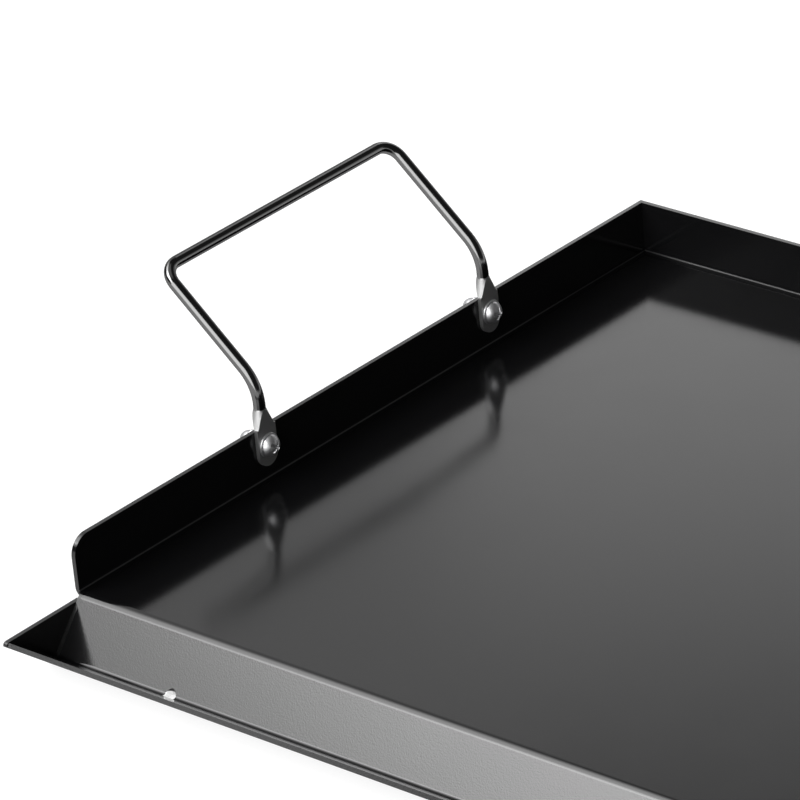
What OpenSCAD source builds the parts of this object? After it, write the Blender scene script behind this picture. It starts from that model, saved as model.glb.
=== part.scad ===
// Camp griddle plate: a folded steel cooking deck with raised side and back walls, a V gutter along the
// front with a drain hole, and two bent wire handles bolted to the side walls.
// Millimetres. X runs along the front edge, Y to the back, Z up.
// The origin is the middle of the deck's flat underside, which rests on the stove.

/* [Plate] */
// Width of the cooking deck between the two side bends
deck_width = 606; // [250:0.1:1000]
// Depth of the cooking deck from the front bend to the back bend
deck_depth = 361.5; // [250:0.1:600]
// Thickness of the sheet that the plate is folded from
sheet = 2; // [1.2:0.1:4]
// Height of the walls above the deck
wall_height = 23.6; // [15:0.1:60]
// Outward lean of the side walls in degrees
side_lean = 0.4; // [0:0.1:15]
// Outward lean of the back wall in degrees
back_lean = 0.4; // [0:0.1:15]
// Inside radius of the bends at the foot of the walls
foot_radius = 2; // [1:0.1:6]
// Radius of the free front corner at the top of each side wall
wall_corner = 8.4; // [2:0.1:14]

/* [Gutter] */
// Distance that the slope runs forward from the deck
slope_run = 17.5; // [6:0.1:40]
// Depth of the fold below the deck
slope_drop = 20.7; // [12:0.1:40]
// Distance that the lip runs forward from the fold
lip_run = 24; // [12:0.1:50]
// Height that the lip climbs from the fold to its edge
lip_rise = 17.6; // [6:0.1:19]
// Inside radius of the bend at the front edge of the deck
brow_radius = 3; // [1:0.1:8]
// Inside radius of the fold at the bottom of the gutter
fold_radius = 1.5; // [0.5:0.1:4]
// Gap between the end plates' top edge and the deck's underside
end_drop = 0.8; // [0.2:0.1:6]
// Height of the end plates' front tip above the edge of the lip
end_above = 0.2; // [0:0.1:6]
// Radius of the front tip of the end plates
end_tip = 1.5; // [0.5:0.1:1.6]
// Diameter of the drain hole
drain_d = 5.4; // [3:0.1:14]
// Distance of the drain hole from the left side bend
drain_inset = 62; // [15:0.1:120]

/* [Handles] */
// Diameter of the handle wire
wire_d = 5.2; // [3:0.1:8]
// Distance of the handles' middle behind the middle of the side walls
handle_back = 3.2; // [-40:0.1:40]
// Distance between the two legs of a handle
handle_span = 142.3; // [80:0.1:220]
// Length of straight wire between the neck and the first bend
stub_length = 1.8; // [1:0.1:20]
// Length of a leg from the corner of the first bend to the grip
leg_length = 61.8; // [40:0.1:90]
// Outward lean of the legs in degrees
leg_lean = 49.1; // [35:0.1:80]
// Radius of the first bend at the centre of the wire
stub_bend = 20; // [8:0.1:30]
// Radius of the corners of the grip at the centre of the wire
grip_bend = 8; // [6:0.1:25]
// Width of the flattened tabs
tab_width = 11; // [8:0.1:16]
// Thickness of the flattened tabs
tab_thickness = 1.8; // [1:0.1:3]
// Distance from the screw to the lower end of a tab
tab_end = 9.3; // [6:0.1:12]
// Length over which a tab narrows to the round wire
neck_length = 8.2; // [5:0.1:12]
// Distance of the neck above the top edge of the wall
neck_gap = 0.5; // [0.2:0.1:4]

/* [Fasteners] */
// Thread diameter of the handle screws
screw_d = 5; // [3:0.1:6]
// Distance of the screws below the top edge of the wall
screw_below = 7.5; // [5:0.1:12]
// Diameter of the screw heads
head_d = 9.5; // [7:0.1:14]
// Height of the screw heads
head_height = 3.8; // [2:0.1:5]
// Diameter of the flat washers
washer_d = 10.8; // [8:0.1:16]
// Thickness of the flat washers
washer_thickness = 1; // [0.5:0.1:2]
// Width across the flats of the cap nuts
nut_flats = 8.4; // [6:0.1:13]
// Height of the hexagon of the cap nuts
nut_hex = 5.4; // [3:0.1:8]
// Height of the dome of the cap nuts
nut_dome = 5.4; // [3:0.1:8]
// Depth of thread left free in front of the screw's tip
tip_room = 0.6; // [0.2:0.1:2]
// Clearance around a screw in the holes of the wall, the tab and the washer
hole_clearance = 0.5; // [0.2:0.05:1]
// Clearance between a screw and its nut
thread_clearance = 0.1; // [0.02:0.01:0.3]

/* [Hidden] */
$fn = 96;

deck_top = sheet;
half_w = deck_width / 2;
half_d = deck_depth / 2;
wall_top = deck_top + wall_height;
outer_foot = foot_radius + sheet;
side_out = sheet / cos(side_lean) - sheet * tan(side_lean);
back_out = sheet / cos(back_lean) - sheet * tan(back_lean);
foot_set = foot_radius * tan((90 - side_lean) / 2);
front_y = -half_d;
over = 50;
// Arcs are this much fuller than a tangent one, so that each meets its straight line at a clear point
seam = 0.002;

// Gutter section, measured from the front edge of the deck's top: y forward is negative, z down is negative
slope_angle = atan2(slope_drop, slope_run);
lip_angle = atan2(lip_rise, lip_run);
slope_normal = [sin(slope_angle), -cos(slope_angle)];
lip_normal = [-sin(lip_angle), -cos(lip_angle)];
lip_way = [-cos(lip_angle), sin(lip_angle)];
brow_outer = brow_radius + sheet;
brow_mid = [brow_outer * tan(slope_angle / 2), -brow_outer];
fold_turn = slope_angle + lip_angle;
fold_outer = fold_radius + sheet;
fold = [-slope_run, -slope_drop];
fold_mid = fold + fold_radius * tan(fold_turn / 2) * lip_way - fold_radius * lip_normal;
lip_edge = fold + [-lip_run, lip_rise];

// Corners of the plates that close the gutter's ends
end_back = sheet * slope_normal[0] - (sheet * slope_normal[1] + sheet + end_drop) / tan(slope_angle);
fold_corner = fold_mid + fold_outer * (slope_normal + lip_normal) / (1 + cos(fold_turn));
lip_corner = lip_edge + sheet * lip_normal;
end_top = lip_edge[1] + end_above;

// Handle on the left wall: x off the inner face, z up along the wall
wall_length = wall_height / cos(side_lean);
screw_up = wall_length - screw_below;
tab_low = screw_up - tab_end;
neck_up = wall_length + neck_gap;
leg_turn = leg_lean - side_lean;
bend_set = stub_bend * tan(leg_turn / 2);
bend_up = neck_up + neck_length + stub_length;
// The front of the wire is flush with the front of its flattened tabs
wire_x = tab_thickness - wire_d / 2;
handle_y = (wall_height * tan(back_lean) + sheet / cos(back_lean)) / 2 + handle_back;
// The wire thins a little where it is bent, and the straight lengths lap over the ends of the bends
bend_thin = 0.03;
bend_d = wire_d - 2 * bend_thin;
lap = 0.3;

hole_d = screw_d + hole_clearance;
bore_d = screw_d + 2 * thread_clearance;
stack = tab_thickness + washer_thickness;
head_rim = head_height * 0.35;
dome_base = nut_flats * 0.94 / 2;
bore_depth = nut_hex + nut_dome * 0.5;
screw_length = stack + sheet + bore_depth - tip_room;

// What a rounded corner takes off a sharp one: the wedge between two angles outside a circle
module round_off(radius, from, to) {
    reach = 2 * radius;
    mid = (from + to) / 2;
    difference() {
        polygon([[0, 0], reach * [cos(from), sin(from)], reach * [cos(mid), sin(mid)],
                 reach * [cos(to), sin(to)]]);
        circle(r = radius + seam);
    }
}

// Section of a tub in X and Z: level floor, leaning walls, rounded feet
module tub_section(half, floor_z, top_z, lean, radius) {
    set = radius * tan((90 - lean) / 2);
    flare = (top_z - floor_z) * tan(lean);
    difference() {
        polygon([[-half, floor_z], [half, floor_z], [half + flare, top_z], [-half - flare, top_z]]);
        for (s = [0, 1])
            mirror([s, 0])
                translate([half - set, floor_z + radius])
                    round_off(radius, 270, 360 - lean);
    }
}

// Section in Y and Z: open at the front, leaning wall with a rounded foot at the back
module back_section(front, back, floor_z, top_z, lean, radius) {
    set = radius * tan((90 - lean) / 2);
    flare = (top_z - floor_z) * tan(lean);
    difference() {
        polygon([[front, floor_z], [back, floor_z], [back + flare, top_z], [front, top_z]]);
        translate([back - set, floor_z + radius])
            round_off(radius, 270, 360 - lean);
    }
}

// Outside of the tray seen from the side, with the rounded free corner of the side walls
module tray_side() {
    difference() {
        back_section(front_y, half_d + back_out, 0, wall_top, back_lean, outer_foot);
        translate([front_y + wall_corner, wall_top - wall_corner])
            round_off(wall_corner, 90, 180);
    }
}

// Extrude a section drawn in X and Z along Y
module along_y(from, to) {
    translate([0, to, 0])
        rotate([90, 0, 0])
            linear_extrude(to - from)
                children();
}

// Extrude a section drawn in Y and Z along X
module along_x(from, to) {
    translate([from, 0, 0])
        rotate([90, 0, 90])
            linear_extrude(to - from)
                children();
}

// All that lies under a face of the folded front strip, at a depth below its top face
module under_face(depth, beyond) {
    brow_r = brow_outer - depth;
    fold_r = fold_radius + depth;
    lip_end = lip_edge + depth * lip_normal + beyond * lip_way;
    lip_low = lip_end + 3 * sheet * lip_normal;
    bottom = -over - beyond;
    difference() {
        polygon([[foot_radius + brow_mid[0] + beyond, -depth],
                 [depth * tan(slope_angle / 2), -depth],
                 fold_mid + fold_r * slope_normal, fold_mid + fold_r * lip_normal, lip_end, lip_low,
                 [lip_low[0], bottom], [foot_radius + brow_mid[0] + beyond, bottom]]);
        translate(brow_mid)
            round_off(brow_r, 90, 90 + slope_angle);
        translate(fold_mid)
            circle(r = fold_r + seam);
    }
}

// Folded front strip: bend at the deck's edge, slope, fold and lip
module gutter_section() {
    difference() {
        under_face(0, 0);
        under_face(sheet, 3 * sheet);
    }
}

// Place something made in the left wall's frame
module on_left_wall() {
    translate([-half_w, handle_y, deck_top])
        rotate([0, -side_lean, 0])
            children();
}

// Place something made in the left wall's frame on the left (-1) or right (1) wall
module on_wall(side) {
    if (side < 0)
        on_left_wall()
            children();
    else
        mirror([1, 0, 0])
            on_left_wall()
                children();
}

// Place something at the front (-1) or back (1) screw of a wall, its x axis along the screw
module at_screw(side, row) {
    on_wall(side)
        translate([0, row * handle_span / 2, screw_up])
            children();
}

module screw_hole() {
    translate([-sheet * 3, 0, 0])
        rotate([0, 90, 0])
            cylinder(h = sheet * 6, d = hole_d);
}

module tray() {
    difference() {
        intersection() {
            along_y(front_y - over, half_d + over)
                tub_section(half_w + side_out, 0, wall_top, side_lean, outer_foot);
            along_x(-half_w - over, half_w + over)
                tray_side();
        }
        intersection() {
            along_y(front_y - over, half_d + over)
                tub_section(half_w, deck_top, wall_top + sheet, side_lean, foot_radius);
            along_x(-half_w - over, half_w + over)
                back_section(front_y - over, half_d, deck_top, wall_top + sheet, back_lean, foot_radius);
        }
        translate([-half_w + foot_set, front_y - over, -over])
            cube([deck_width - 2 * foot_set, over + brow_mid[0], 2 * over]);
    }
}

// Place a section that is measured from the front edge of the deck's top
module at_front(from, to) {
    along_x(from, to)
        translate([front_y, deck_top])
            children();
}

module griddle_pan() {
    color([0.07, 0.07, 0.075])
        difference() {
            union() {
                tray();
                at_front(-half_w, half_w)
                    gutter_section();
            }
            for (s = [-1, 1], r = [-1, 1])
                at_screw(s, r)
                    screw_hole();
            translate([-half_w + drain_inset, front_y + fold_mid[0], -over])
                cylinder(h = over, d = drain_d);
        }
}

// Plate that closes an end of the gutter
module gutter_end_section() {
    difference() {
        polygon([[end_back, -sheet - end_drop], fold_corner, lip_corner, [lip_corner[0], end_top],
                 [lip_corner[0] + end_tip, end_top]]);
        translate(fold_mid)
            round_off(fold_outer, 270 - lip_angle, 270 + slope_angle);
        translate([lip_corner[0] + end_tip, end_top - end_tip])
            round_off(end_tip, 90, 180);
    }
}

module gutter_end_left() {
    color([0.08, 0.08, 0.085])
        at_front(-half_w - sheet, -half_w)
            gutter_end_section();
}

module gutter_end_right() {
    color([0.08, 0.08, 0.085])
        at_front(half_w, half_w + sheet)
            gutter_end_section();
}

// Flattened end of the wire on the wall, with a round lower end and the screw's hole
module tab() {
    tab_round = tab_low + tab_width / 2;
    difference() {
        translate([tab_thickness, 0, 0])
            rotate([0, -90, 0])
                linear_extrude(tab_thickness)
                    difference() {
                        translate([tab_low, -tab_width / 2])
                            square([neck_up - tab_low + lap, tab_width]);
                        translate([tab_round, 0])
                            round_off(tab_width / 2, 90, 180);
                        translate([tab_round, 0])
                            round_off(tab_width / 2, 180, 270);
                    }
        translate([-tab_thickness, 0, screw_up])
            rotate([0, 90, 0])
                cylinder(h = tab_thickness * 3, d = hole_d);
    }
}

// Neck where the flat tab grows into the round wire, from the wall's frame to the axis of the wire
module neck() {
    wire_back = wire_x - wire_d / 2;
    intersection() {
        translate([wire_x, 0, 0])
            cylinder(h = neck_length, d1 = tab_width, d2 = wire_d);
        along_y(-tab_width, tab_width)
            polygon([[0, 0], [tab_thickness, 0], [tab_thickness + bend_thin, neck_length],
                     [wire_back - bend_thin, neck_length]]);
    }
}

// Bend of the wire that starts along z and turns towards -x
module wire_bend(radius, turn) {
    translate([-radius, 0, 0])
        rotate([90, 0, 0])
            rotate_extrude(angle = turn)
                translate([radius, 0])
                    circle(d = bend_d);
}

// Frame of the wire on the wall, at the start of the first bend
module at_bend() {
    translate([wire_x, 0, bend_up])
        children();
}

// Frame of a leg: from the corner of the first bend, z along the leg
module in_leg() {
    at_bend()
        translate([0, 0, bend_set])
            rotate([0, -leg_turn, 0])
                children();
}

// One leg of a handle: tab, neck, first bend, leg and the corner of the grip
module handle_leg() {
    tab();
    translate([0, 0, neck_up])
        neck();
    at_bend()
        translate([0, 0, -stub_length])
            cylinder(h = stub_length + lap, d = wire_d);
    at_bend()
        wire_bend(stub_bend, leg_turn);
    in_leg() {
        translate([0, 0, bend_set - lap])
            cylinder(h = leg_length - bend_set - grip_bend + 2 * lap, d = wire_d);
        translate([0, 0, leg_length - grip_bend])
            rotate([0, 0, -90])
                wire_bend(grip_bend, 90);
    }
}

module handle() {
    grip_length = handle_span - 2 * grip_bend + 2 * lap;
    translate([0, -handle_span / 2, 0])
        handle_leg();
    translate([0, handle_span / 2, 0])
        mirror([0, 1, 0])
            handle_leg();
    in_leg()
        translate([0, grip_length / 2, leg_length])
            rotate([90, 0, 0])
                cylinder(h = grip_length, d = wire_d);
}

module handle_left() {
    color([0.75, 0.76, 0.78])
        on_wall(-1)
            handle();
}

module handle_right() {
    color([0.75, 0.76, 0.78])
        on_wall(1)
            handle();
}

// Domed cap of a given base radius and height
module cap_section(base, height) {
    ball = (base * base + height * height) / (2 * height);
    intersection() {
        translate([0, height - ball])
            circle(r = ball);
        square([2 * ball, height]);
    }
}

module screw() {
    translate([stack, 0, 0])
        rotate([0, 90, 0]) {
            cylinder(h = head_rim, d = head_d);
            translate([0, 0, head_rim])
                rotate_extrude()
                    cap_section(head_d / 2, head_height - head_rim);
            translate([0, 0, -screw_length])
                cylinder(h = screw_length, d = screw_d);
        }
}

module washer() {
    translate([tab_thickness, 0, 0])
        rotate([0, 90, 0])
            difference() {
                cylinder(h = washer_thickness, d = washer_d);
                translate([0, 0, -washer_thickness])
                    cylinder(h = washer_thickness * 3, d = hole_d);
            }
}

module cap_nut() {
    translate([-sheet, 0, 0])
        rotate([0, -90, 0])
            difference() {
                union() {
                    cylinder(h = nut_hex, d = nut_flats / cos(30), $fn = 6);
                    translate([0, 0, nut_hex])
                        rotate_extrude()
                            cap_section(dome_base, nut_dome);
                }
                translate([0, 0, -nut_hex])
                    cylinder(h = nut_hex + bore_depth, d = bore_d);
            }
}

module screw_left_front() {
    color([0.78, 0.78, 0.8])
        at_screw(-1, -1)
            screw();
}

module screw_left_back() {
    color([0.78, 0.78, 0.8])
        at_screw(-1, 1)
            screw();
}

module screw_right_front() {
    color([0.78, 0.78, 0.8])
        at_screw(1, -1)
            screw();
}

module screw_right_back() {
    color([0.78, 0.78, 0.8])
        at_screw(1, 1)
            screw();
}

module washer_left_front() {
    color([0.7, 0.7, 0.72])
        at_screw(-1, -1)
            washer();
}

module washer_left_back() {
    color([0.7, 0.7, 0.72])
        at_screw(-1, 1)
            washer();
}

module washer_right_front() {
    color([0.7, 0.7, 0.72])
        at_screw(1, -1)
            washer();
}

module washer_right_back() {
    color([0.7, 0.7, 0.72])
        at_screw(1, 1)
            washer();
}

module cap_nut_left_front() {
    color([0.74, 0.74, 0.77])
        at_screw(-1, -1)
            cap_nut();
}

module cap_nut_left_back() {
    color([0.74, 0.74, 0.77])
        at_screw(-1, 1)
            cap_nut();
}

module cap_nut_right_front() {
    color([0.74, 0.74, 0.77])
        at_screw(1, -1)
            cap_nut();
}

module cap_nut_right_back() {
    color([0.74, 0.74, 0.77])
        at_screw(1, 1)
            cap_nut();
}

griddle_pan();
gutter_end_left();
gutter_end_right();
handle_left();
handle_right();
screw_left_front();
screw_left_back();
screw_right_front();
screw_right_back();
washer_left_front();
washer_left_back();
washer_right_front();
washer_right_back();
cap_nut_left_front();
cap_nut_left_back();
cap_nut_right_front();
cap_nut_right_back();
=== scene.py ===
"""Looks of the camp griddle plate: black coated sheet, polished wire handles and bright fasteners."""
import math

import bpy
from mathutils import Matrix, Vector


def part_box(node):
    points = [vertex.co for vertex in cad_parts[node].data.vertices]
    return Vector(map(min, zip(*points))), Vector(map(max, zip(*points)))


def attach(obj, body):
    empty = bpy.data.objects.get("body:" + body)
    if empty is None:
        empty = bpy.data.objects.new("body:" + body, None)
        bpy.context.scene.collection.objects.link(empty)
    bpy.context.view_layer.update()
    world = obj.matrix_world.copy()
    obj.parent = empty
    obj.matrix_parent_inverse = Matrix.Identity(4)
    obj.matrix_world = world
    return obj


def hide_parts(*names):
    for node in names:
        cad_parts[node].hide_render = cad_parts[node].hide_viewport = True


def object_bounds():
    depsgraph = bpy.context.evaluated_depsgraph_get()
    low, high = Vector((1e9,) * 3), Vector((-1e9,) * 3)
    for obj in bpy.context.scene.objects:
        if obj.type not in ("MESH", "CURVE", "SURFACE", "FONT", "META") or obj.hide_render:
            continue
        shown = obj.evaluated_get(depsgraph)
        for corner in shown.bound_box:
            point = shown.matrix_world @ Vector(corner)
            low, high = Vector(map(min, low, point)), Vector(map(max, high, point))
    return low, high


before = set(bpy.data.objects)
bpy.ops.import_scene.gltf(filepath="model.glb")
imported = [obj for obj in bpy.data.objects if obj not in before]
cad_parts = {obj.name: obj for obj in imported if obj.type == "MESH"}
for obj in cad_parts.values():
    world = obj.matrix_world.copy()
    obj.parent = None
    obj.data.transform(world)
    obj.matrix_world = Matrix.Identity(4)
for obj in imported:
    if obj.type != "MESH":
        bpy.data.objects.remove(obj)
cad_lo, cad_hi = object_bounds()

# Camera at the photograph's viewing angle: degrees, metres and pixels of the 800 x 800 frame
VIEW_YAW = 43.0315
VIEW_PITCH = 26.6264
VIEW_ROLL = -5.4431
VIEW_AIM = Vector((-0.30272, 0.01568, 0.002))
VIEW_DISTANCE = 2.6167
VIEW_CLIP = 100
FOCAL_PIXELS = 6253.0
FRAME_PIXELS = 800
SENSOR_MM = 36


def add_camera():
    """Camera placed by the angles at which the photograph was taken."""
    yaw, pitch, roll = (math.radians(a) for a in (VIEW_YAW, VIEW_PITCH, VIEW_ROLL))
    back = Vector((math.sin(yaw) * math.cos(pitch), -math.cos(yaw) * math.cos(pitch), math.sin(pitch)))
    right = Vector((math.cos(yaw), math.sin(yaw), 0))
    up = back.cross(right)
    rolled_right = math.cos(roll) * right + math.sin(roll) * up
    rolled_up = math.cos(roll) * up - math.sin(roll) * right
    data = bpy.data.cameras.new("camera")
    data.sensor_width = SENSOR_MM
    data.lens = FOCAL_PIXELS / FRAME_PIXELS * SENSOR_MM
    data.clip_end = VIEW_CLIP
    camera = bpy.data.objects.new("camera", data)
    turn = Matrix((rolled_right, rolled_up, back)).transposed()
    camera.matrix_world = Matrix.Translation(VIEW_AIM + VIEW_DISTANCE * back) @ turn.to_4x4()
    bpy.context.collection.objects.link(camera)
    bpy.context.scene.camera = camera


class Tree:
    """A node tree with short calls for making and joining nodes."""

    def __init__(self, tree):
        self.tree = tree
        tree.nodes.clear()

    def node(self, kind, **settings):
        made = self.tree.nodes.new(kind)
        for name, value in settings.items():
            setattr(made, name, value)
        return made

    def join(self, source, target):
        self.tree.links.new(source, target)

    def put(self, value, socket):
        """Link a socket, or set a constant."""
        if isinstance(value, bpy.types.NodeSocket):
            self.join(value, socket)
        else:
            socket.default_value = value

    def math(self, operation, a, b=0.0, clamp=False):
        made = self.node("ShaderNodeMath", operation=operation, use_clamp=clamp)
        self.put(a, made.inputs[0])
        self.put(b, made.inputs[1])
        return made.outputs[0]

    def dot(self, vector, axis):
        made = self.node("ShaderNodeVectorMath", operation="DOT_PRODUCT")
        self.join(vector, made.inputs[0])
        made.inputs[1].default_value = axis
        return made.outputs["Value"]

    def ramp(self, value, from_min, from_max, to_min=0.0, to_max=1.0):
        made = self.node("ShaderNodeMapRange", interpolation_type="SMOOTHSTEP")
        self.put(value, made.inputs["Value"])
        for name, number in (("From Min", from_min), ("From Max", from_max),
                             ("To Min", to_min), ("To Max", to_max)):
            made.inputs[name].default_value = number
        return made.outputs["Result"]

    def band(self, value, low, high, edge):
        """1 between two limits and 0 outside them, with soft edges."""
        return self.math("MULTIPLY", self.ramp(value, low, low + edge),
                         self.ramp(value, high - edge, high, 1.0, 0.0))

    def mix(self, share, color, other):
        made = self.node("ShaderNodeMix", data_type="RGBA")
        self.join(share, made.inputs["Factor"])
        made.inputs["A"].default_value = color
        made.inputs["B"].default_value = other
        return made.outputs["Result"]

    def noise(self, vector, scale, detail):
        made = self.node("ShaderNodeTexNoise")
        self.join(vector, made.inputs["Vector"])
        made.inputs["Scale"].default_value = scale
        made.inputs["Detail"].default_value = detail
        return made.outputs["Fac"]

    def bump(self, height, strength, distance):
        made = self.node("ShaderNodeBump")
        self.join(height, made.inputs["Height"])
        made.inputs["Strength"].default_value = strength
        made.inputs["Distance"].default_value = distance
        return made.outputs[0]


def aim(azimuth, elevation):
    """Unit vector to a compass direction: azimuth 0 is the camera's heading, positive to the right."""
    turn = math.radians(azimuth - VIEW_YAW)
    rise = math.radians(elevation)
    return Vector((math.sin(turn) * math.cos(rise), math.cos(turn) * math.cos(rise), math.sin(rise)))


# Soft lights of the dark studio, in degrees: middle azimuth, half width and side edge, then lower limit,
# upper limit and level edge in elevation, and the strength
PANELS = {
    "backdrop": (0, 181, 0.5, -95, 3, 3, 1.0),
    "back_left": (-18.5, 18.8, 0.3, -95, 46, 6, 0.72),
    "back_right": (4.2, 3.9, 0.3, -95, 33, 2, 0.22),
    "back_bright": (4.2, 3.9, 0.3, -95, 28.4, 3.6, 1.56),
    "back_side": (22, 14, 1, -95, 46, 7, 1.8),
    "right_mid": (54, 18, 6, -95, 28, 6, 0.4),
    "right_low": (82, 18, 6, -95, 17, 6, 0.5),
    "softbox": (-110, 27.2, 10.1, 31.7, 58, 2.2, 9.4),
    "softbox_wing": (-78, 38, 30, 36, 64, 5, 5.5),
    "softbox_skirt": (-91, 5, 1, 24, 30.5, 1.5, 2.6),
    "ceiling": (0, 181, 0.5, 70, 99, 4, 0.5),
    "front_fill": (-150, 26, 8, 0, 44, 5, 4.2),
}
DARK = 0.05


def panel_mask(t, direction, rise, azimuth, half_width, side_edge, low, high, level_edge):
    """How much of a soft light panel lies in a direction, from 0 to 1."""
    ahead = aim(azimuth, 0)
    side = aim(azimuth + 90, 0)
    turn = t.math("ABSOLUTE", t.math("ARCTAN2", t.dot(direction, side), t.dot(direction, ahead)))
    def around(limit, edge):
        return math.radians(limit - edge), math.radians(limit + edge)
    mask = t.ramp(turn, *around(half_width, side_edge), 1.0, 0.0)
    mask = t.math("MULTIPLY", mask, t.ramp(rise, *around(low, level_edge)))
    return t.math("MULTIPLY", mask, t.ramp(rise, *around(high, level_edge), 1.0, 0.0))


def add_world():
    """White backdrop round the horizon and soft light panels in a dark studio."""
    world = bpy.data.worlds.new("studio")
    world.use_nodes = True
    bpy.context.scene.world = world
    t = Tree(world.node_tree)
    direction = t.node("ShaderNodeTexCoord").outputs["Generated"]
    rise = t.math("ARCSINE", t.dot(direction, (0, 0, 1)))
    total = DARK
    for *place, strength in PANELS.values():
        mask = panel_mask(t, direction, rise, *place)
        total = t.math("ADD", t.math("MULTIPLY", mask, strength), total)
    light = t.node("ShaderNodeBackground")
    light.inputs["Color"].default_value = (1, 1, 1, 1)
    t.join(total, light.inputs["Strength"])
    t.join(light.outputs[0], t.node("ShaderNodeOutputWorld").inputs[0])


FLOOR_SIZE = 12.0
FLOOR_GLOW = 0.85
FLOOR_COLOR = (0.2, 0.2, 0.2, 1)


def add_floor():
    """White floor that keeps the soft shadow of the plate."""
    half = FLOOR_SIZE / 2
    level = cad_lo.z
    mesh = bpy.data.meshes.new("floor")
    mesh.from_pydata([(-half, -half, level), (half, -half, level), (half, half, level), (-half, half, level)],
                     [], [(0, 1, 2, 3)])
    floor = bpy.data.objects.new("floor", mesh)
    bpy.context.collection.objects.link(floor)
    material = bpy.data.materials.new("floor_white")
    material.use_nodes = True
    t = Tree(material.node_tree)
    path = t.node("ShaderNodeLightPath")
    seen = t.math("MAXIMUM", path.outputs["Is Camera Ray"], path.outputs["Is Glossy Ray"])
    seen = t.math("MAXIMUM", seen, path.outputs["Is Transmission Ray"])
    diffuse = t.node("ShaderNodeBsdfDiffuse")
    diffuse.inputs["Color"].default_value = FLOOR_COLOR
    glow = t.node("ShaderNodeEmission")
    t.put(t.math("MULTIPLY", seen, FLOOR_GLOW), glow.inputs["Strength"])
    both = t.node("ShaderNodeAddShader")
    t.join(diffuse.outputs[0], both.inputs[0])
    t.join(glow.outputs[0], both.inputs[1])
    t.join(both.outputs[0], t.node("ShaderNodeOutputMaterial").inputs[0])
    mesh.materials.append(material)


# Share of a noise that is stretched over a range of roughness
NOISE_SPAN = (0.3, 0.7)

COATING_COLOR = (0.0025, 0.0025, 0.0027, 1)
COATING_IOR = 1.5
COATING_ROUGH = (0.115, 0.13)
COATING_SHINE = 0.5
CLOUD_SCALE = 25.0
GRAIN_SCALE = 1500.0
GRAIN_STRENGTH = 0.4
GRAIN_HEIGHT = 0.00003
# The wall of the drilled drain hole is bare up to this height
BARE_COLOR = (0.8, 0.8, 0.8, 1)
DRAIN = (-0.241, -0.19849, 0)
DRAIN_RADIUS = 0.00272
DRAIN_EDGE = 0.00005
DRAIN_COATED = -0.0172
DRAIN_FADE = 0.0003
# The bends at the foot of the walls start here, and are duller up to this height
FOOT_SIDE = 0.3008
FOOT_BACK = 0.1786
FOOT_TOP = 0.0036
FOOT_EDGE = 0.0006
FOOT_ROUGH = 0.36
# Painted highlight: the coating's shine is painted down in the hollow of these bends and kept only in a narrow
# line along them, the shape of the highlight of a tighter bend
HIGHLIGHT_PAINT_SIDE = 0.3033
HIGHLIGHT_PAINT_BACK = 0.1811
HIGHLIGHT_PAINT_LOW = 0.0015
HIGHLIGHT_PAINT_TOP = 0.004
HIGHLIGHT_PAINT_EDGE = 0.0003
HIGHLIGHT_PAINT_DIM = 0.012
PAINTED_LINE_LOW = 0.0026
PAINTED_LINE_TOP = 0.0033
PAINTED_LINE_EDGE = 0.0002


def drain_mask(t, where, height):
    """1 on the bare wall of the drain hole and 0 elsewhere."""
    level = t.node("ShaderNodeVectorMath", operation="MULTIPLY")
    t.join(where, level.inputs[0])
    level.inputs[1].default_value = (1, 1, 0)
    away = t.node("ShaderNodeVectorMath", operation="DISTANCE")
    t.join(level.outputs[0], away.inputs[0])
    away.inputs[1].default_value = DRAIN
    inside = t.ramp(away.outputs["Value"], DRAIN_RADIUS, DRAIN_RADIUS + DRAIN_EDGE, 1.0, 0.0)
    return t.math("MULTIPLY", inside, t.ramp(height, DRAIN_COATED, DRAIN_COATED + DRAIN_FADE, 1.0, 0.0))


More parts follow.
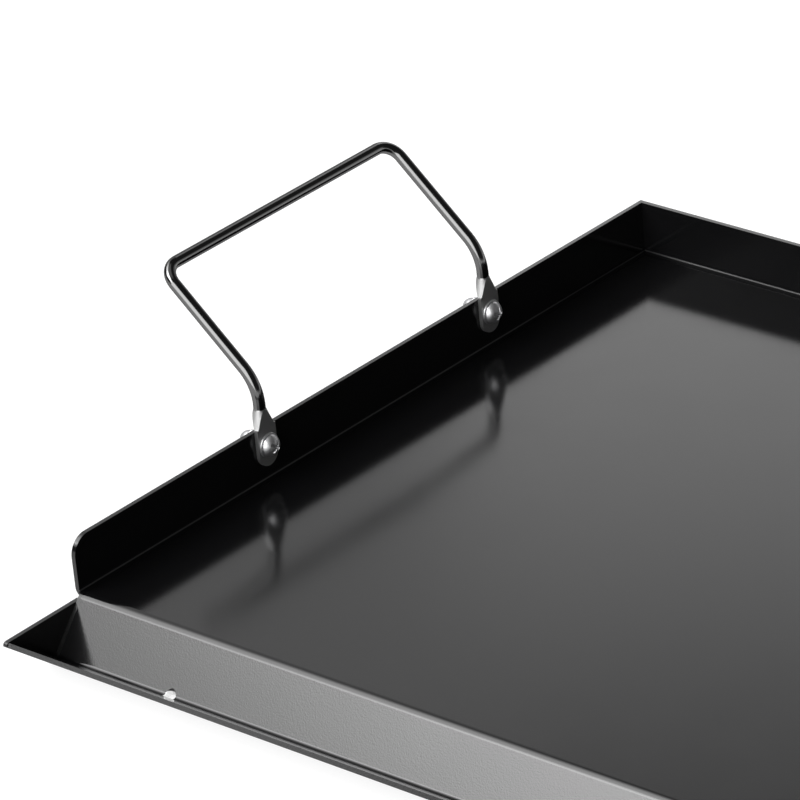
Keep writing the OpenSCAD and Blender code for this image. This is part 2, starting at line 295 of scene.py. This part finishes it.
def coating():
    """Semi-gloss black coating with a fine powder grain, duller in the bends at the foot of the walls,
    where its shine is painted down to a narrow highlight line, and bare metal in the drilled drain hole."""
    material = bpy.data.materials.new("black_coating")
    material.use_nodes = True
    t = Tree(material.node_tree)
    where = t.node("ShaderNodeTexCoord").outputs["Object"]
    width = t.math("ABSOLUTE", t.dot(where, (1, 0, 0)))
    depth = t.dot(where, (0, 1, 0))
    height = t.dot(where, (0, 0, 1))
    shader = t.node("ShaderNodeBsdfPrincipled")
    shader.inputs["IOR"].default_value = COATING_IOR
    bare = drain_mask(t, where, height)
    t.join(bare, shader.inputs["Metallic"])
    t.join(t.mix(bare, COATING_COLOR, BARE_COLOR), shader.inputs["Base Color"])

    rough = t.ramp(t.noise(where, CLOUD_SCALE, 3.0), *NOISE_SPAN, *COATING_ROUGH)
    foot = t.math("MAXIMUM", t.ramp(width, FOOT_SIDE, FOOT_SIDE + FOOT_EDGE),
                  t.ramp(depth, FOOT_BACK, FOOT_BACK + FOOT_EDGE))
    foot = t.math("MULTIPLY", foot, t.ramp(height, FOOT_TOP, FOOT_TOP + FOOT_EDGE, 1.0, 0.0))
    t.join(t.math("MAXIMUM", rough, t.math("MULTIPLY", foot, FOOT_ROUGH)), shader.inputs["Roughness"])

    # Painted highlight: the specular level is cut down over the foot bends and left high only in a narrow line
    # near the top of each bend
    highlight_paint = t.math("MAXIMUM", t.band(width, FOOT_SIDE - HIGHLIGHT_PAINT_EDGE, HIGHLIGHT_PAINT_SIDE, HIGHLIGHT_PAINT_EDGE),
                  t.band(depth, FOOT_BACK - HIGHLIGHT_PAINT_EDGE, HIGHLIGHT_PAINT_BACK, HIGHLIGHT_PAINT_EDGE))
    highlight_paint = t.math("MULTIPLY", highlight_paint, t.band(height, HIGHLIGHT_PAINT_LOW, HIGHLIGHT_PAINT_TOP, HIGHLIGHT_PAINT_EDGE))
    highlight_paint = t.math("SUBTRACT", highlight_paint, t.band(height, PAINTED_LINE_LOW, PAINTED_LINE_TOP, PAINTED_LINE_EDGE), clamp=True)
    t.join(t.ramp(highlight_paint, 0.0, 1.0, COATING_SHINE, HIGHLIGHT_PAINT_DIM), shader.inputs["Specular IOR Level"])

    grain = t.noise(where, GRAIN_SCALE, 2.0)
    t.join(t.bump(grain, GRAIN_STRENGTH, GRAIN_HEIGHT), shader.inputs["Normal"])
    t.join(shader.outputs[0], t.node("ShaderNodeOutputMaterial").inputs[0])
    return material


# Tint, tint at grazing angles and range of roughness
WIRE_LOOK = ((0.14, 0.14, 0.14, 1), (0.45, 0.45, 0.45, 1), (0.1, 0.16))
FASTENER_LOOK = ((0.54, 0.54, 0.55, 1), (0.4, 0.4, 0.4, 1), (0.38, 0.46))
MARK_SCALE = 900.0
SCRATCH_SCALE = 2500.0
SCRATCH_STRENGTH = 0.1
SCRATCH_HEIGHT = 0.00002
# The handles' ends are pressed flat up to this height
PRESSED_TOP = 0.0342
PRESSED_EDGE = 0.0008
PRESSED_COLOR = (0.32, 0.32, 0.32, 1)
PRESSED_ROUGH = 0.5


def polished(name, color, edge, rough_span, pressed=False):
    """Metal with fine polishing marks and the tint of its edges, paler and duller where it was pressed flat."""
    material = bpy.data.materials.new(name)
    material.use_nodes = True
    t = Tree(material.node_tree)
    where = t.node("ShaderNodeTexCoord").outputs["Object"]
    shader = t.node("ShaderNodeBsdfPrincipled")
    shader.inputs["Metallic"].default_value = 1.0
    shader.inputs["Specular Tint"].default_value = edge
    rough = t.ramp(t.noise(where, MARK_SCALE, 3.0), *NOISE_SPAN, *rough_span)
    if pressed:
        flat = t.ramp(t.dot(where, (0, 0, 1)), PRESSED_TOP - PRESSED_EDGE, PRESSED_TOP + PRESSED_EDGE, 1.0, 0.0)
        rough = t.math("MAXIMUM", rough, t.math("MULTIPLY", flat, PRESSED_ROUGH))
        t.join(t.mix(flat, color, PRESSED_COLOR), shader.inputs["Base Color"])
    else:
        shader.inputs["Base Color"].default_value = color
    t.join(rough, shader.inputs["Roughness"])
    scratches = t.noise(where, SCRATCH_SCALE, 2.0)
    t.join(t.bump(scratches, SCRATCH_STRENGTH, SCRATCH_HEIGHT), shader.inputs["Normal"])
    t.join(shader.outputs[0], t.node("ShaderNodeOutputMaterial").inputs[0])
    return material


# Forms of the fasteners, in mm, and the lean of the walls that they sit on
SIDES = 96
LEAN = math.radians(0.4)
HEAD_HEIGHT = 3.8
HEAD_RIM = 0.6
SHANK = 2.45
THREAD = 2.15
PITCH = 0.8
RECESS_REACH = 2.7
RECESS_HALF = 0.62
RECESS_DEPTH = 2.1
RECESS_TAPER = 0.3
RECESS_EDGE = 0.3
CROWN_STEPS = 60
CROSS_TURNS = {"left_front": 50, "left_back": 75, "right_front": 50, "right_back": 10}
HOLE = 2.75
WASHER = 1.0
EDGE = 0.3
NUT_FLATS = 8.4
NUT_HEX = 5.4
NUT_TIP = 10.8
NUT_DOME = 3.9
NUT_CHAMFER = 0.12
NECK = 0.3
DOME_STEPS = 24


def ring(radius, height):
    """One ring of points: radius and height, in mm, are numbers or functions of the angle and the radius."""
    points = []
    for j in range(SIDES):
        angle = math.tau * j / SIDES
        r = radius(angle) if callable(radius) else radius
        z = height(angle, r) if callable(height) else height
        points.append((r * math.cos(angle), r * math.sin(angle), z))
    return points


def surface(name, rings, looped=False):
    """Closed surface through rings of points, with flat ends or joined into a loop."""
    mesh = bpy.data.meshes.new(name)
    count = len(rings)
    faces = []
    for i in range(count if looped else count - 1):
        low, high = i * SIDES, (i + 1) % count * SIDES
        for j in range(SIDES):
            k = (j + 1) % SIDES
            faces.append((low + j, low + k, high + k, high + j))
    if not looped:
        faces.append(tuple(range(SIDES - 1, -1, -1)))
        faces.append(tuple(range((count - 1) * SIDES, count * SIDES)))
    mesh.from_pydata([[c / 1000 for c in point] for row in rings for point in row], [], faces)
    mesh.shade_smooth()
    return mesh


def recess(turn):
    """Depth of a cross recess at an angle and a radius, with soft edges."""
    def depth(angle, r):
        u, v = abs(r * math.cos(angle - turn)), abs(r * math.sin(angle - turn))
        inside = -min(max(u - RECESS_REACH, v - RECESS_HALF), max(v - RECESS_REACH, u - RECESS_HALF))
        share = min(max((inside + 0.12) / RECESS_EDGE, 0), 1)
        return RECESS_DEPTH * (1 - RECESS_TAPER * r / RECESS_REACH) * share * share * (3 - 2 * share)
    return depth


def screw_mesh(name, length, radius, turn):
    """Pan head screw with a cross recess, its head's seat at height 0."""
    shank = HEAD_HEIGHT - length
    rings = [ring(THREAD - 0.5, shank), ring(THREAD, shank + 0.5)]
    turns = int((-shank - 1.5) / PITCH)
    for i in range(turns):
        rings.append(ring(SHANK, shank + 0.5 + (i + 0.5) * PITCH))
        rings.append(ring(THREAD, shank + 0.5 + (i + 1) * PITCH))
    rings += [ring(SHANK, -0.4), ring(SHANK, 0), ring(radius - 0.3, 0), ring(radius - 0.08, 0.08),
              ring(radius, 0.3), ring(radius, HEAD_RIM)]
    depth = recess(turn)
    crown = HEAD_HEIGHT - HEAD_RIM
    ball = (radius * radius + crown * crown) / (2 * crown)
    steepest = math.asin(radius / ball)
    for i in range(1, CROWN_STEPS):
        tilt = steepest * (1 - i / CROWN_STEPS)
        top = HEAD_HEIGHT - ball * (1 - math.cos(tilt))
        rings.append(ring(ball * math.sin(tilt), lambda angle, r, top=top: top - depth(angle, r)))
    return surface(name, rings)


def washer_mesh(name, radius):
    """Flat washer with rounded edges, from height 0 up."""
    rings = []
    for r, z, start in ((HOLE + EDGE, EDGE, 180), (radius - EDGE, EDGE, 270),
                        (radius - EDGE, WASHER - EDGE, 0), (HOLE + EDGE, WASHER - EDGE, 90)):
        for step in range(5):
            turn = math.radians(start + step * 22.5)
            rings.append(ring(r + EDGE * math.cos(turn), z + EDGE * math.sin(turn)))
    return surface(name, rings, looped=True)


def hexagon(limit):
    """Radius of the nut's hexagon at an angle, with its corners cut back to a limit."""
    def radius(angle):
        off = (angle + math.pi / 6) % (math.pi / 3) - math.pi / 6
        return min(NUT_FLATS / 2 / math.cos(off), limit)
    return radius


def nut_mesh(name):
    """Domed cap nut with chamfered corners, its seat at height 0."""
    wide, narrow = NUT_FLATS / 2 / math.cos(math.pi / 6), NUT_FLATS / 2
    rings = [ring(HOLE, 0.3), ring(narrow - 0.4, 0)]
    for low in range(5):
        rings.append(ring(hexagon(narrow + (wide - narrow) * low / 4), NUT_CHAMFER * low))
    for high in range(4, -1, -1):
        rings.append(ring(hexagon(narrow + (wide - narrow) * high / 4), NUT_HEX - NUT_CHAMFER * high))
    rings += [ring(NUT_DOME + 0.25, NUT_HEX), ring(NUT_DOME + 0.05, NUT_HEX + 0.08),
              ring(NUT_DOME, NUT_HEX + NECK)]
    for i in range(1, DOME_STEPS + 1):
        rise = math.radians(89 * i / DOME_STEPS)
        rings.append(ring(NUT_DOME * math.cos(rise),
                          NUT_HEX + NECK + (NUT_TIP - NUT_HEX - NECK) * math.sin(rise)))
    return surface(name, rings)


def fit(node, mesh, material, seat, outward):
    """Put a turned piece in the place of a node: its seat at x = seat, its axis along the wall's normal."""
    low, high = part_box(node)
    inward = 1 if "left" in node else -1
    axis = Vector((inward * math.cos(LEAN), 0, math.sin(LEAN))) * (-1 if outward else 1)
    across = Vector((0, 1, 0))
    turn = Matrix((across, axis.cross(across), axis)).transposed()
    place = Vector((seat, (low.y + high.y) / 2, (low.z + high.z) / 2))
    mesh.transform(Matrix.Translation(place) @ turn.to_4x4())
    mesh.materials.append(material)
    piece = bpy.data.objects.new(mesh.name, mesh)
    bpy.context.collection.objects.link(piece)
    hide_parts(node)
    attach(piece, "root")


def add_fasteners(material):
    """Screws with cross recesses, rounded washers and domed cap nuts in the places of the plain ones."""
    for corner, turn in CROSS_TURNS.items():
        left = "left" in corner
        low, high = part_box("screw_" + corner)
        length = (high.x - low.x) * 1000
        inner = high.x - HEAD_HEIGHT / 1000 if left else low.x + HEAD_HEIGHT / 1000
        mesh = screw_mesh("pan_head_" + corner, length, (high.y - low.y) * 500, math.radians(turn))
        fit("screw_" + corner, mesh, material, inner, False)
        low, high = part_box("washer_" + corner)
        mesh = washer_mesh("flat_washer_" + corner, (high.y - low.y) * 500)
        fit("washer_" + corner, mesh, material, low.x if left else high.x, False)
        low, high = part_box("cap_nut_" + corner)
        mesh = nut_mesh("domed_nut_" + corner)
        fit("cap_nut_" + corner, mesh, material, high.x if left else low.x, True)


def dress(node, material):
    """Give a node of the part its material."""
    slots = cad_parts[node].data.materials
    slots.clear()
    slots.append(material)


add_camera()
add_world()
add_floor()

black = coating()
wire = polished("handle_wire", *WIRE_LOOK, pressed=True)
bright = polished("bright_fastener", *FASTENER_LOOK)
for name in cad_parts:
    if name.startswith("handle"):
        dress(name, wire)
    elif name.startswith(("griddle", "gutter")):
        dress(name, black)
    else:
        dress(name, bright)
add_fasteners(bright)

bpy.context.scene.view_settings.view_transform = "Standard"
